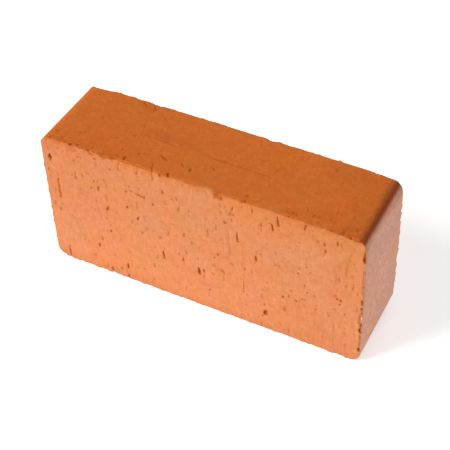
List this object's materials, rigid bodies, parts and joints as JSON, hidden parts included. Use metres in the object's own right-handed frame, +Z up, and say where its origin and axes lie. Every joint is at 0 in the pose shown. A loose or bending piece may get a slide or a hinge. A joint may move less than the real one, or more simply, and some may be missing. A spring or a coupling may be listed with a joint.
{
  "type": "solid clay brick",
  "caption": "Solid wire-cut fired-clay brick of the single format, standing on its long narrow face, with die-rounded corners, drag furrows and chipped edges.",
  "frame": {"origin": "on the floor, under the middle of the brick as it stands on its long narrow face", "axes": "+X along the length, +Y through the thickness away from the front bed face, +Z up across the width"},
  "size_m": [0.25, 0.065, 0.12],
  "materials": {
    "fired_clay": "matt unglazed fired clay"
  },
  "bodies": {
    "root": {"brick": "fired_clay"}
  },
  "joints": []
}
